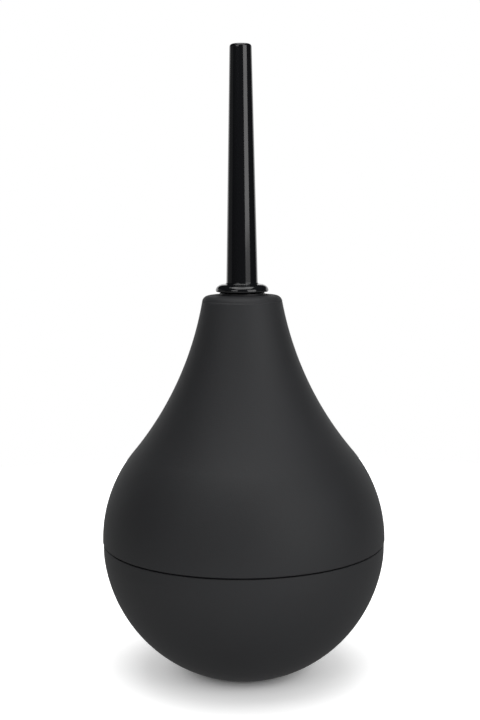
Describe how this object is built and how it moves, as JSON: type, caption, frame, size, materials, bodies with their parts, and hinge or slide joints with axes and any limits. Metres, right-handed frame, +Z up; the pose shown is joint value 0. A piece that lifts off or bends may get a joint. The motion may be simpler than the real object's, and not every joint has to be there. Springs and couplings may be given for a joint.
{
  "type": "dust blower bulb",
  "caption": "Pear-shaped rubber squeeze bulb with a flat foot, a flanged tapered push-fit nozzle and a one-way air inlet valve in the base, for blowing dust off small work.",
  "frame": {"origin": "centre of the foot's flat face, on the surface that the bulb stands on", "axes": "+Z up along the common axis of the bulb and nozzle; X and Y are free, because the outside is round"},
  "size_m": [0.08, 0.08, 0.176],
  "materials": {
    "bulb_rubber": "matte soft-touch, near black",
    "nozzle_gloss": "polished black",
    "bush_plastic": "as moulded",
    "seal_rubber": "smooth",
    "screen_steel": "plain pierced sheet"
  },
  "bodies": {
    "base": {"bulb_lower_shell": "bulb_rubber", "inlet_valve_seat": "bush_plastic", "inlet_valve_cage": "bush_plastic", "inlet_screen": "screen_steel"},
    "neck": {"bulb_upper_shell": "bulb_rubber", "neck_bush": "bush_plastic"},
    "seal": {"nozzle_seal_ring": "seal_rubber"},
    "nozzle_tube": {"nozzle": "nozzle_gloss"},
    "valve_flap": {"inlet_valve_disc": "seal_rubber"}
  },
  "joints": [
    {"name": "bulb_squeeze", "type": "slide", "parent": "base", "child": "neck", "axis": [0, 0, 1], "range_m": [-0.02, 0], "stiffness_N_per_m": 800, "springref_m": 0.0015, "deforming": ["bulb_upper_shell"]},
    {"name": "nozzle_turn", "type": "hinge", "parent": "neck", "child": "seal", "pos_m": [0, 0, 0.1071], "axis": [0, 0, 1], "continuous": true},
    {"name": "nozzle_pull", "type": "slide", "parent": "seal", "child": "nozzle_tube", "axis": [0, 0, 1], "range_m": [0, 0.02]},
    {"name": "inlet_valve_lift", "type": "slide", "parent": "base", "child": "valve_flap", "axis": [0, 0, 1], "range_m": [0, 0.0012]}
  ]
}
